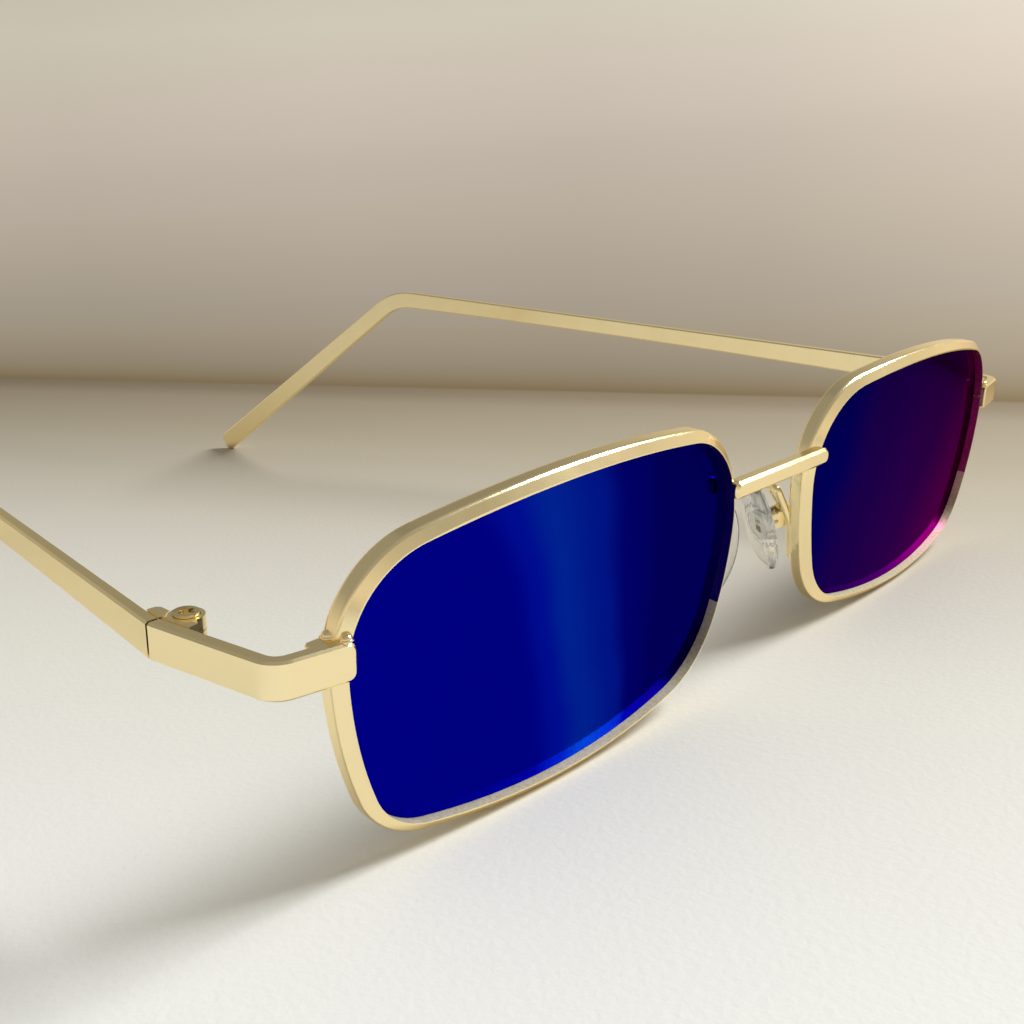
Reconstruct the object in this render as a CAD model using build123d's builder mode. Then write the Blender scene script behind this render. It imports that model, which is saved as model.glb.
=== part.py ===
"""Narrow rectangle sunglasses: gold-coloured metal frame, mirrored lenses, hinged temples.

Lengths are in millimetres. The front faces -Y, the temples run to +Y, +Z is up, and the wearer's
left is at +X. Every paired piece is made for the wearer's left and mirrored for the right. Pieces are
drawn with the temples level, then the whole frame is turned about X until it stands on the rims and
the temple tips, with its origin under the middle of its box.
"""

import os
from math import atan2, cos, degrees, hypot, radians, sin, sqrt, tan

from build123d import *

os.makedirs("parts", exist_ok=True)

# Lenses
lens_half_width = 24.6
lens_half_height = 14.8
lens_gap = 16.0
lens_radius = 134.0
lens_thickness = 1.3
lens_tongue = 0.65
lens_tongue_setback = 0.15
lens_clearance = 0.02
face_wrap = 2.3
front_lean = 2.5

# Lens outline: corners as shares of the half width and half height, with side bows and corner rounds
nose_top_share = (-0.98, 0.82)
temple_top_share = (0.98, 0.72)
temple_bottom_share = (0.82, -0.84)
nose_bottom_share = (-0.83, -0.77)
top_bow = 3.0
temple_bow = 2.0
bottom_bow = 2.25
nose_bow = 2.0
nose_top_round = 10.0
temple_top_round = 9.0
temple_bottom_round = 7.0
nose_bottom_round = 9.5

# Rims
rim_width = 1.1
rim_depth = 2.25
rim_proud = 1.0
rim_lip = 0.1
rim_slope = 0.55
rim_round = 0.5
groove_depth = 0.6

# Bridge bar
bridge_height = 1.85
bridge_depth = 1.3
bridge_level = 7.0
bridge_seat = 0.5
bridge_lap = 1.15
bridge_bevel = 0.3
bridge_edge = 0.1

# End pieces
strip_height = 3.2
strip_thickness = 1.3
strip_level = 4.65
strip_edge = 0.2
end_lap = 0.45
end_proud = 0.65
end_reach = 6.95
end_sweep = 1.16
end_flare = 2.0
end_side = 12.75
end_corner_round = 2.4
end_tip_round = 0.8
closing_gap = 0.25

# Rim locks behind the end pieces
lock_width = 1.75
lock_depth = 0.95
lock_bite = 0.3
lock_inset = 0.1
lock_split = 0.16
lock_round = 0.55
lock_edge = 0.2
lock_cap = 0.4
lock_screw_setback = 0.58
lock_screw_radius = 0.3
lock_screw_fit = 0.03
lock_head_radius = 0.5
lock_head_height = 0.35
screw_slot = 0.2
slot_depth = 0.2

# Hinges
axis_inset = 3.05
axis_setback = 0.7
barrel_radius = 1.45
knuckle_height = 1.15
knuckle_clearance = 0.06
leaf_thickness = 0.9
leaf_length = 3.0
block_depth = 2.0
block_round = 0.6
pin_radius = 0.55
pin_fit = 0.04
pin_head_radius = 1.05
pin_head_height = 0.45
pin_tail = 0.15
pin_proud = 0.25
star_reach = 0.68
star_slot = 0.36
star_depth = 0.3
sweep_clearance = 0.12

# Temples
temple_splay = 7.0
temple_thickness = 1.2
temple_waist = 2.6
temple_bend_height = 3.0
temple_tip_height = 3.8
temple_straight = 102.0
temple_tail = 64.0
temple_drop_angle = 36.5
temple_bend_round = 14.0
temple_tip_round = 1.2
temple_edge = 0.2

# Nose pads
pad_inset = 2.9
pad_stand = 2.7
pad_level = -1.8
pad_height = 12.5
pad_width = 7.0
pad_thickness = 1.4
pad_edge = 0.6
pad_flare = 22.0
pad_turn = 28.0
insert_radius = 1.7
insert_base = 0.45
lug_thickness = 0.8
lug_height = 1.7
lug_reach = 1.4
lug_round = 0.35
pad_pin_drop = 0.85
pad_pin_radius = 0.25
pad_pin_fit = 0.03
pad_pin_head = 0.45
pad_pin_head_height = 0.25

# Pad arms: the foot and the rise lie on the rim at shares of the lens's half width and half height
arm_foot_share = (-0.96, -0.38)
arm_rise_share = (-1.007, -0.07)
wire_radius = 0.45
arm_lean = 1.4
arm_step = 1.1
arm_climb = 3.7
arm_spread = 1.2
arm_hook = 1.6
arm_fall = 0.3
arm_lead = 0.6
arm_bend = 0.5

# Boxes on the arms that hold the pads
box_gap = 0.4
box_height = 2.0
box_wall = 0.3
box_room = 0.3
box_side_clearance = 0.1

# Passes that level the standing frame
standing_passes = 4

# One overrun serves all cuts
overrun = 1.0

lens_middle = lens_half_width + lens_gap / 2
lens_plane = Plane(
    origin=(lens_middle, 0, 0),
    x_dir=Vector(1, 0, 0).rotate(Axis.Z, face_wrap).rotate(Axis.X, front_lean),
    z_dir=Vector(0, -1, 0).rotate(Axis.Z, face_wrap).rotate(Axis.X, front_lean),
)
lens_centre = lens_plane.offset(-lens_radius).origin
slab_reach = lens_half_width / 2


def front_setback(x: float, z: float, proud: float) -> float:
    """Y of the curved front at a place, standing proud of the lens surface by a distance."""
    across = hypot(x - lens_centre.X, z - lens_centre.Z)
    return lens_centre.Y - sqrt((lens_radius + proud) ** 2 - across**2)


def lens_corner(share: tuple[float, float]) -> Vector:
    """Corner of the lens outline from its shares of the half width and half height."""
    return Vector(share[0] * lens_half_width, share[1] * lens_half_height)


def bowed_side(start: Vector, end: Vector, bow: float) -> Edge:
    """Arc between two corners, bowed outwards from the lens centre."""
    middle = (start + end) / 2
    along = (end - start).normalized()
    outwards = Vector(along.Y, -along.X)
    if outwards.dot(middle) < 0:
        outwards = -outwards
    return ThreePointArc(start, middle + outwards * bow, end)


def lens_outline(grow: float) -> Sketch:
    """Lens outline in its own plane, grown outwards by a distance."""
    nose_top = lens_corner(nose_top_share)
    temple_top = lens_corner(temple_top_share)
    temple_bottom = lens_corner(temple_bottom_share)
    nose_bottom = lens_corner(nose_bottom_share)
    rounds = (
        (nose_top, nose_top_round),
        (temple_top, temple_top_round),
        (temple_bottom, temple_bottom_round),
        (nose_bottom, nose_bottom_round),
    )
    with BuildSketch() as outline:
        with BuildLine():
            bowed_side(nose_top, temple_top, top_bow)
            bowed_side(temple_top, temple_bottom, temple_bow)
            bowed_side(temple_bottom, nose_bottom, bottom_bow)
            bowed_side(nose_bottom, nose_top, nose_bow)
        make_face()
        for corner, radius in rounds:
            fillet(outline.vertices().sort_by_distance(corner)[0], radius)
        if grow:
            offset(amount=grow)
    return outline.sketch


def curved_slab(grow: float, front: float, back: float) -> BuildPart:
    """Slab of the grown outline between two spheres that share the lens's centre."""
    with BuildPart() as slab:
        with BuildSketch(lens_plane.offset(slab_reach)):
            add(lens_outline(grow))
        extrude(amount=-2 * slab_reach)
        with Locations(lens_centre):
            Sphere(lens_radius + front, mode=Mode.INTERSECT)
        with Locations(lens_centre):
            Sphere(lens_radius + back, mode=Mode.SUBTRACT)
    return slab


# Lens with the tongue that sits in the rim's groove
tongue_front = -lens_tongue_setback
tongue_back = tongue_front - lens_tongue
lens_body = curved_slab(-lens_clearance, 0, -lens_thickness)
lens_edge = curved_slab(groove_depth - lens_clearance, tongue_front, tongue_back)
with BuildPart() as lens:
    add(lens_body.part)
    add(lens_edge.part)

# Rim: its front slopes outwards from a thin lip, its back is rounded, and behind the end piece it is sawn
rim_back = rim_proud - rim_depth
rim_ring = curved_slab(rim_width, rim_proud, rim_back)
rim_opening = curved_slab(0, rim_proud + overrun, rim_back - overrun)
rim_groove = curved_slab(groove_depth, tongue_front + lens_clearance, tongue_back - lens_clearance)
outward = Axis(lens_plane.origin, lens_plane.z_dir)
end_tip_x = lens_middle + lens_half_width - end_lap
with BuildPart() as rim_body:
    add(rim_ring.part)
    rim_face = rim_body.faces().sort_by(outward)[-1]
    chamfer(rim_face.outer_wire().edges(), rim_width - rim_lip, rim_slope, reference=rim_face)
    fillet(rim_body.faces().sort_by(outward)[0].outer_wire().edges(), rim_round)
with BuildPart() as rim:
    add(rim_body.part)
    add(rim_opening.part, mode=Mode.SUBTRACT)
    add(rim_groove.part, mode=Mode.SUBTRACT)
    with BuildSketch(Plane.XY.offset(strip_level - lock_split / 2)):
        with Locations((lens_middle + lens_half_width / 2, 0)):
            Rectangle(lens_half_width, lens_half_width, align=(Align.MIN, Align.CENTER))
    extrude(amount=lock_split, mode=Mode.SUBTRACT)

# Bridge bar: flat front, bevelled top and ends, lying on the front of both rims
bridge_reach = lens_gap / 2 + bridge_lap
bridge_back = front_setback(bridge_reach, bridge_level, rim_proud) + bridge_seat
bridge_plane = Plane.XZ.offset(-bridge_back)
with BuildPart() as bridge_bar:
    with BuildSketch(bridge_plane):
        with Locations((0, bridge_level)):
            RectangleRounded(2 * bridge_reach, bridge_height, bridge_height / 2 - bridge_edge)
    extrude(amount=bridge_depth)
    front_edges = bridge_bar.faces().sort_by(Axis.Y)[0].edges()
    chamfer(front_edges, bridge_bevel)
    add(rim_body.part, mode=Mode.SUBTRACT)
    add(mirror(rim_body.part, about=Plane.YZ, mode=Mode.PRIVATE), mode=Mode.SUBTRACT)

# Plan of the end piece: a strip that sweeps back, turns a corner and flares out to the hinge
strip_bottom = strip_level - strip_height / 2
strip_top = strip_level + strip_height / 2
half_strip = strip_thickness / 2
end_tip = Vector(end_tip_x, front_setback(end_tip_x, strip_level, rim_proud) - end_proud)
end_corner = end_tip + Vector(end_reach, end_sweep)
hinge_gap = end_corner + Vector(end_flare, end_side)
front_along = (end_corner - end_tip).normalized()
side_along = (hinge_gap - end_corner).normalized()
front_inwards = front_along.rotate(Axis.Z, 90)
side_inwards = side_along.rotate(Axis.Z, 90)
corner_shift = (front_inwards + side_inwards) / (1 + front_inwards.dot(side_inwards))
with BuildPart() as strip:
    with BuildSketch(Plane.XY.offset(strip_bottom)):
        with BuildLine():
            FilletPolyline(
                end_tip + front_inwards * half_strip,
                end_corner + corner_shift * half_strip,
                hinge_gap + side_inwards * half_strip + side_along * overrun,
                radius=end_corner_round - half_strip,
            )
        trace(line_width=strip_thickness)
        with Locations(hinge_gap):
            Rectangle(
                4 * strip_thickness, 4 * overrun, align=(Align.CENTER, Align.MIN), mode=Mode.SUBTRACT
            )
    extrude(amount=strip_height)

with BuildPart() as end_piece:
    add(strip.part)
    fillet(end_piece.faces().sort_by(Axis.X)[0].edges().filter_by(Axis.Z, reverse=True), end_tip_round)
    outer_edges = end_piece.edges().filter_by(Axis.Z, reverse=True)
    chamfer(outer_edges.filter_by(lambda edge: edge.center().Y < hinge_gap.Y - overrun), strip_edge)
    add(rim_body.part, mode=Mode.SUBTRACT)

# Rim lock: two blocks behind the end piece, drawn together by a screw from below
lock_half = strip_height / 2 - lock_inset - lock_split / 2
lock_under = strip_level - lock_split / 2 - lock_half
lock_over = strip_level + lock_split / 2
lock_start_x = lens_middle + lens_half_width + rim_width - lock_bite
lock_end_x = lock_start_x + lock_width
lock_back_y = end_tip.Y + strip_thickness + end_sweep / 2 + lock_depth
lock_centre = Vector(lock_end_x - (lock_width - lock_bite) / 2, lock_back_y - lock_screw_setback)
lock_hole = 2 * lock_half + lock_split - lock_cap


def lock_block(bottom: float, outer: int) -> BuildPart:
    """Half of a rim lock, shaped to the rim and the end piece, rounded on its outer flat."""
    seat = end_tip + front_inwards * half_strip
    seat_end = seat + front_along * ((lock_end_x - seat.X) / front_along.X)
    with BuildPart() as block:
        with BuildSketch(Plane.XY.offset(bottom)) as plan:
            with BuildLine():
                Polyline(seat, seat_end, (lock_end_x, lock_back_y), (lock_start_x, lock_back_y), close=True)
            make_face()
            fillet(plan.vertices().sort_by_distance((lock_end_x, lock_back_y))[0], lock_round)
        extrude(amount=lock_half)
        fillet(block.faces().sort_by(Axis.Z)[outer].edges(), lock_edge)
        with BuildSketch(Plane.XY.offset(lock_under)):
            with Locations(lock_centre):
                Circle(lock_screw_radius + lock_screw_fit)
        extrude(amount=lock_hole, mode=Mode.SUBTRACT)
        for taken in (strip, rim_body):
            add(taken.part, mode=Mode.SUBTRACT)
    return block


lock_lower = lock_block(lock_under, 0)
lock_upper = lock_block(lock_over, -1)
with BuildPart() as lock_screw:
    with BuildSketch(Plane.XY.offset(lock_under - lock_head_height)):
        with Locations(lock_centre):
            Circle(lock_head_radius)
    extrude(amount=lock_head_height)
    with BuildSketch(Plane.XY.offset(lock_under)):
        with Locations(lock_centre):
            Circle(lock_screw_radius)
    extrude(amount=lock_hole - lock_screw_fit)
    with BuildSketch(Plane.XY.offset(lock_under - lock_head_height)):
        with Locations(lock_centre):
            Rectangle(3 * lock_head_radius, screw_slot)
    extrude(amount=slot_depth, mode=Mode.SUBTRACT)

# Hinge places: the pin stands inboard of the gap, and the knuckles share the strip's height
hinge_axis = Vector(hinge_gap.X - axis_inset, hinge_gap.Y - axis_setback)
inner_gap = hinge_gap + side_inwards * strip_thickness
inner_gap -= side_along * ((inner_gap.Y - hinge_gap.Y) / side_along.Y)
middle_bottom = strip_bottom + knuckle_height + knuckle_clearance
middle_top = strip_top - knuckle_height - knuckle_clearance
middle_height = middle_top - middle_bottom


def knuckle(bottom: float, height: float, near: Vector, far: Vector) -> BuildPart:
    """Barrel about the hinge axis, drawn out to a flat that two places bound."""
    with BuildPart() as barrel:
        with BuildSketch(Plane.XY.offset(bottom)):
            with Locations(hinge_axis):
                Circle(barrel_radius)
            with BuildLine():
                Line(near, far)
            make_hull()
        extrude(amount=height)
    return barrel


def hinge_bore(radius: float) -> BuildPart:
    """Round hole through the whole hinge."""
    with BuildPart() as bore:
        with BuildSketch(Plane.XY.offset(strip_bottom - overrun)):
            with Locations(hinge_axis):
                Circle(radius)
        extrude(amount=strip_height + 2 * overrun)
    return bore


def sweep_room(bottom: float, height: float) -> BuildPart:
    """Room that the other leaf's barrel needs to turn."""
    with BuildPart() as room:
        with BuildSketch(Plane.XY.offset(bottom)):
            with Locations(hinge_axis):
                Circle(barrel_radius + sweep_clearance)
        extrude(amount=height)
    return room


# Front leaf: a plate inside the end piece with the upper and lower knuckles
leaf_front = inner_gap - side_along * leaf_length
leaf_step = side_inwards * leaf_thickness
leaf_end = inner_gap + leaf_step - side_along * (leaf_step.Y / side_along.Y)
knuckle_front = inner_gap - side_along * (barrel_radius + axis_setback)
knuckle_back = inner_gap - side_along * axis_setback
with BuildPart() as front_plate:
    with BuildSketch(Plane.XY.offset(strip_bottom)):
        with BuildLine():
            Polyline(leaf_front, leaf_front + leaf_step, leaf_end, inner_gap, close=True)
        make_face()
    extrude(amount=strip_height)
middle_room = sweep_room(middle_bottom - knuckle_clearance, middle_height + 2 * knuckle_clearance)
with BuildPart() as front_leaf:
    add(front_plate.part)
    add(knuckle(strip_bottom, knuckle_height, knuckle_front, knuckle_back).part)
    add(knuckle(strip_top - knuckle_height, knuckle_height, knuckle_front, knuckle_back).part)
    add(middle_room.part, mode=Mode.SUBTRACT)
    add(hinge_bore(pin_radius + pin_fit).part, mode=Mode.SUBTRACT)
    with BuildSketch(Plane.XY.offset(strip_top - pin_head_height)):
        with Locations(hinge_axis):
            Circle(pin_head_radius + pin_fit)
    extrude(amount=pin_head_height, mode=Mode.SUBTRACT)

# Hinge screw: a star-shaped recess in a head that stands a little out of the upper knuckle
with BuildPart() as hinge_screw:
    with BuildSketch(Plane.XY.offset(strip_bottom - pin_tail)):
        with Locations(hinge_axis):
            Circle(pin_radius)
    extrude(amount=strip_height + pin_tail - pin_head_height)
    with BuildSketch(Plane.XY.offset(strip_top - pin_head_height)):
        with Locations(hinge_axis):
            Circle(pin_head_radius)
    extrude(amount=pin_head_height + pin_proud)
    with BuildSketch(Plane.XY.offset(strip_top + pin_proud - star_depth)):
        with Locations(hinge_axis):
            with PolarLocations(0, 6):
                Rectangle(2 * star_reach, star_slot)
    extrude(amount=star_depth, mode=Mode.SUBTRACT)

# Temple: a flat bar that narrows to a waist, then bends down behind the ear and widens to its tip
temple_root = Vector(hinge_gap.X, hinge_gap.Y + closing_gap, strip_level)
temple_along = Vector(0, 1, 0).rotate(Axis.Z, temple_splay)
temple_outwards = Vector(1, 0, 0).rotate(Axis.Z, temple_splay)
temple_plane = Plane(origin=temple_root, x_dir=temple_along, z_dir=temple_outwards)
drop = radians(temple_drop_angle)
tail_along = Vector(cos(drop), -sin(drop))
tail_under = Vector(-sin(drop), -cos(drop))
half_height = strip_height / 2
root_over = Vector(-overrun, half_height)
root_under = Vector(-overrun, -half_height)
bend_over = Vector(temple_straight, half_height)
bend_under = bend_over - Vector(tan(drop / 2), 1) * temple_bend_height
waist = Vector(bend_under.X / 2, half_height - temple_waist)
tip_over = bend_over + tail_along * temple_tail
tip_under = tip_over + tail_under * temple_tip_height
with BuildPart() as bar:
    with BuildSketch(temple_plane) as side_view:
        with BuildLine():
            Polyline(root_under, root_over, bend_over, tip_over, tip_under, bend_under)
            ThreePointArc(bend_under, waist, root_under)
        make_face()
        fillet(side_view.vertices().sort_by_distance(bend_over)[0], temple_bend_round)
        fillet(side_view.vertices().sort_by_distance(bend_under)[0], temple_bend_round - temple_bend_height)
        fillet(side_view.vertices().sort_by_distance(tip_over)[0], temple_tip_round)
        fillet(side_view.vertices().sort_by_distance(tip_under)[0], temple_tip_round)
    extrude(amount=-temple_thickness)
with BuildPart() as temple:
    add(bar.part)
    chamfer(temple.faces().sort_by(Axis(temple_root, temple_outwards))[-1].edges(), temple_edge)
    chamfer(temple.faces().sort_by(Axis(temple_root, temple_outwards))[0].edges(), temple_edge)
    with BuildSketch(Plane.XY.offset(strip_bottom - overrun)):
        with Locations((temple_root.X, temple_root.Y)):
            Rectangle(4 * strip_thickness, 4 * overrun, align=(Align.CENTER, Align.MAX))
    extrude(amount=strip_height + 2 * overrun, mode=Mode.SUBTRACT)

# Temple leaf: a block behind the gap that carries the middle knuckle
temple_flat = Vector(temple_along.X, temple_along.Y)
temple_inwards = Vector(-temple_outwards.X, -temple_outwards.Y)
temple_front = Vector(temple_root.X, temple_root.Y)
plate_front = temple_front + temple_inwards * temple_thickness
plate_front = plate_front - temple_flat * ((plate_front.Y - temple_front.Y) / temple_flat.Y)
block_inner = Vector(hinge_axis.X + pin_radius, temple_front.Y)
block_back = Vector(hinge_axis.X + pin_radius, temple_front.Y + block_depth)
plate_meets = plate_front + temple_flat * (block_depth / temple_flat.Y)
block_side = block_back - Vector(0, block_round)
block_end = block_back + Vector(block_round, 0)
with BuildPart() as temple_leaf:
    with BuildSketch(Plane.XY.offset(strip_bottom)) as block_plan:
        with BuildLine():
            Polyline(plate_front, block_inner, block_back, plate_meets, close=True)
        make_face()
        fillet(block_plan.vertices().sort_by_distance(block_back)[0], block_round)
    extrude(amount=strip_height)
    add(sweep_room(strip_bottom, knuckle_height + knuckle_clearance).part, mode=Mode.SUBTRACT)
    add(sweep_room(middle_top, knuckle_height + knuckle_clearance).part, mode=Mode.SUBTRACT)
    add(knuckle(middle_bottom, middle_height, block_side, block_end).part)
    add(hinge_bore(pin_radius + pin_fit).part, mode=Mode.SUBTRACT)

# Nose pad: an oval silicone pad moulded on a base, standing off the rim's nose side
pad_middle = lens_gap / 2 - pad_inset
pad_setback = front_setback(lens_gap / 2, pad_level, rim_back) + pad_stand
pad_plane = Plane(
    origin=(pad_middle, pad_setback, pad_level),
    x_dir=Vector(0, -1, 0).rotate(Axis.Z, -pad_turn).rotate(Axis.Y, -pad_flare),
    z_dir=Vector(-1, 0, 0).rotate(Axis.Z, -pad_turn).rotate(Axis.Y, -pad_flare),
)
pad_back_plane = pad_plane.offset(-pad_thickness)
with BuildPart() as nose_pad:
    with BuildSketch(pad_plane):
        Ellipse(pad_width / 2, pad_height / 2)
    extrude(amount=-pad_thickness)
    fillet(nose_pad.edges(), pad_edge)
    with BuildSketch(pad_back_plane):
        Circle(insert_radius)
    extrude(amount=insert_base, mode=Mode.SUBTRACT)

# Base in the pad, with the lug that the pad rocks on
pad_pin_plane = Plane(
    origin=pad_back_plane.offset(-pad_pin_drop).origin, x_dir=pad_plane.y_dir, z_dir=pad_plane.x_dir
)
half_box = lug_thickness / 2 + box_side_clearance + box_wall


def pad_bore(radius: float) -> BuildPart:
    """Round hole across the pad's lug and its box."""
    with BuildPart() as bore:
        with BuildSketch(pad_pin_plane):
            Circle(radius)
        extrude(amount=half_box + overrun, both=True)
    return bore


with BuildPart() as pad_insert:
    with BuildSketch(pad_back_plane):
        Circle(insert_radius)
    extrude(amount=insert_base)
    with BuildSketch(pad_back_plane):
        Rectangle(lug_thickness, lug_height)
    extrude(amount=-lug_reach)
    lug_end = pad_insert.faces().sort_by(Axis(pad_plane.origin, pad_plane.z_dir))[0]
    fillet(lug_end.edges().filter_by(Axis(pad_plane.origin, pad_plane.x_dir)), lug_round)
    add(pad_bore(pad_pin_radius + pad_pin_fit).part, mode=Mode.SUBTRACT)

# Pad screw across the box
with BuildPart() as pad_screw:
    with BuildSketch(pad_pin_plane):
        Circle(pad_pin_radius)
    extrude(amount=half_box, both=True)
    with BuildSketch(pad_pin_plane.offset(-half_box)):
        Circle(pad_pin_head)
    extrude(amount=-pad_pin_head_height)

# Pad arm: a wire from the rim's back, up, over a crest and down to the box
box_plane = pad_back_plane.offset(-box_gap)
box_floor = lug_reach - box_gap + box_room
box_seat = box_plane.offset(-box_floor - box_wall / 2).origin
box_lead = box_plane.offset(-box_floor - box_wall - arm_lead).origin
rim_mark = [
    Vector(lens_middle + share[0] * lens_half_width, 0, share[1] * lens_half_height)
    for share in (arm_foot_share, arm_rise_share)
]
arm_foot, arm_rise = [
    Vector(mark.X, front_setback(mark.X, mark.Z, rim_back), mark.Z) for mark in rim_mark
]
arm_crest = arm_rise + Vector(-arm_lean, arm_step, arm_climb)
arm_back = arm_crest + Vector(arm_spread, arm_hook, -arm_fall)
with BuildPart() as pad_arm:
    with BuildLine() as arm_path:
        FilletPolyline(arm_foot, arm_rise, arm_crest, arm_back, box_lead, box_seat, radius=arm_bend)
    with BuildSketch(Plane(origin=arm_path.wire() @ 0, z_dir=arm_path.wire() % 0)):
        Circle(wire_radius)
    sweep(path=arm_path.wire())
    with BuildSketch(box_plane):
        Rectangle(2 * half_box, box_height)
    extrude(amount=-box_floor - box_wall)
    with BuildSketch(box_plane):
        Rectangle(lug_thickness + 2 * box_side_clearance, box_height + overrun)
    extrude(amount=-box_floor, mode=Mode.SUBTRACT)
    add(pad_bore(pad_pin_radius + pad_pin_fit).part, mode=Mode.SUBTRACT)
    add(rim_body.part, mode=Mode.SUBTRACT)

# The frame turns about X until the rims and the temple tips stand at one level
standing_turn = 0.0
for _ in range(standing_passes):
    rim_box = rim.part.rotate(Axis.X, standing_turn).bounding_box()
    temple_box = temple.part.rotate(Axis.X, standing_turn).bounding_box()
    standing_turn += degrees(atan2(rim_box.min.Z - temple_box.min.Z, temple_box.max.Y))
bridge_box = bridge_bar.part.rotate(Axis.X, standing_turn).bounding_box()
frame_front = min(bridge_box.min.Y, rim_box.min.Y)
frame_middle = (frame_front + temple_box.max.Y) / 2
standing = Location((0, -frame_middle, -rim_box.min.Z), (standing_turn, 0, 0))

single_pieces = {"bridge_bar": bridge_bar}
paired_pieces = {
    "rim": rim,
    "lens": lens,
    "end_piece": end_piece,
    "lock_upper": lock_upper,
    "lock_lower": lock_lower,
    "lock_screw": lock_screw,
    "hinge_front_leaf": front_leaf,
    "hinge_temple_leaf": temple_leaf,
    "hinge_screw": hinge_screw,
    "temple": temple,
    "pad_arm": pad_arm,
    "pad_screw": pad_screw,
    "pad_insert": pad_insert,
    "nose_pad": nose_pad,
}

for name, piece in single_pieces.items():
    with BuildPart() as placed:
        with Locations(standing):
            add(piece.part)
    placed.part.label = name
    export_step(placed.part, f"parts/{name}.step")

for name, piece in paired_pieces.items():
    with BuildPart() as left:
        with Locations(standing):
            add(piece.part)
    with BuildPart() as right:
        mirror(left.part, about=Plane.YZ)
    left.part.label = f"{name}_left"
    export_step(left.part, f"parts/{name}_left.step")
    right.part.label = f"{name}_right"
    export_step(right.part, f"parts/{name}_right.step")
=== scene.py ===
"""Looks of the narrow rectangle sunglasses: gold-plated frame, blue mirror lenses, clear silicone pads.

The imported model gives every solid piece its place. This script gives each piece its finish, models the soft
pads and the solder beads that the solids leave out, and sets up the table, the light and the camera.
"""

import logging
import math
from collections.abc import Callable
from dataclasses import dataclass
from enum import Enum
from typing import Any

import bmesh
import bpy
from mathutils import Matrix, Vector

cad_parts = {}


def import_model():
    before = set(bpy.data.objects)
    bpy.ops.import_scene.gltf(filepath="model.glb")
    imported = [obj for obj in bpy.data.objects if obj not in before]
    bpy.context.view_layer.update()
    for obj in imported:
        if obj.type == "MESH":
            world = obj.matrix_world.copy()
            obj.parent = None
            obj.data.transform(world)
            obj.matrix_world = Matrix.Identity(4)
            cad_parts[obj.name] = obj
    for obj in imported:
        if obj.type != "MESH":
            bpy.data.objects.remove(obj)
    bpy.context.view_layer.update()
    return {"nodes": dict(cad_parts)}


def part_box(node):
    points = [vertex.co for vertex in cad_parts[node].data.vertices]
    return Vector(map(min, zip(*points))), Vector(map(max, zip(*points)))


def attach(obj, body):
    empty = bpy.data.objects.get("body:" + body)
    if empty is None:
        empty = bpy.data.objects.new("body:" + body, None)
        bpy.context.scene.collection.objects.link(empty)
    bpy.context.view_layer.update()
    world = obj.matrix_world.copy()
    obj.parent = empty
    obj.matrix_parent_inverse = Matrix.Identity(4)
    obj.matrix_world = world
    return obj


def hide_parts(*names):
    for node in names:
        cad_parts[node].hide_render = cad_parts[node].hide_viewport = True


log = logging.getLogger("sunglasses")
MM = 0.001
WELD_MM = 0.001
# A wave texture of scale one has this many waves in one unit of length
WAVES_PER_UNIT = 20


class Side(Enum):
    """Wearer's left and right, with the sign of X on each."""

    LEFT = 1
    RIGHT = -1

    @property
    def label(self) -> str:
        """Ending of the names of this side's pieces."""
        return self.name.lower()


class Slot(Enum):
    """Material slots of the record."""

    GOLD = "gold_plated_metal"
    MIRROR = "blue_mirror_lens"
    SCREW = "screw_steel"
    CORE = "pad_core_plastic"
    SILICONE = "clear_silicone"


def linear(code: str) -> tuple[float, float, float, float]:
    """Turns an sRGB hex colour into a linear one.

    Args:
        code: Six hex digits, with or without a leading hash.

    Returns:
        Linear red, green, blue and an alpha of one.
    """
    digits = code.lstrip("#")
    shares = [int(digits[i : i + 2], 16) / 255 for i in (0, 2, 4)]
    red, green, blue = (s / 12.92 if s <= 0.04045 else ((s + 0.055) / 1.055) ** 2.4 for s in shares)
    return red, green, blue, 1.0


def add_node(tree: bpy.types.NodeTree, kind: str, settings: dict[str, Any] | None = None,
             inputs: dict[Any, Any] | None = None) -> bpy.types.Node:
    """Adds one shader node with its settings, values and links.

    Args:
        tree: Node tree that gets the node.
        kind: Blender's type name of the node.
        settings: Attributes to set on the node. A setting named "stops" fills a colour ramp.
        inputs: Input names or numbers, each with a value or the output socket to link from.

    Returns:
        The new node.
    """
    node = tree.nodes.new(kind)
    for name, value in (settings or {}).items():
        if name == "stops":
            while len(node.color_ramp.elements) < len(value):
                node.color_ramp.elements.new(1.0)
            for element, (place, colour) in zip(node.color_ramp.elements, value):
                element.position = place
                element.color = linear(colour)
        else:
            setattr(node, name, value)
    for name, value in (inputs or {}).items():
        if isinstance(value, bpy.types.NodeSocket):
            tree.links.new(value, node.inputs[name])
        else:
            node.inputs[name].default_value = value
    return node


def add_noise(tree: bpy.types.NodeTree, place: bpy.types.NodeSocket, size_mm: float,
              detail: float) -> bpy.types.NodeSocket:
    """Adds a noise whose blotches have a given size.

    Args:
        tree: Node tree that gets the node.
        place: Object coordinates.
        size_mm: Size of the largest blotches.
        detail: How many finer layers lie on them.

    Returns:
        The noise's value.
    """
    noise = add_node(tree, "ShaderNodeTexNoise", None, {
        "Vector": place, "Scale": 1 / (size_mm * MM), "Detail": detail})
    return noise.outputs["Fac"]


def new_material(name: str) -> tuple[bpy.types.Material, bpy.types.NodeTree, bpy.types.Node]:
    """Starts a material with an empty tree and an output.

    Args:
        name: Name of the real material.

    Returns:
        The material, its tree and its output node.
    """
    material = bpy.data.materials.new(name)
    material.use_nodes = True
    material.node_tree.nodes.clear()
    output = add_node(material.node_tree, "ShaderNodeOutputMaterial")
    return material, material.node_tree, output


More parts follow.
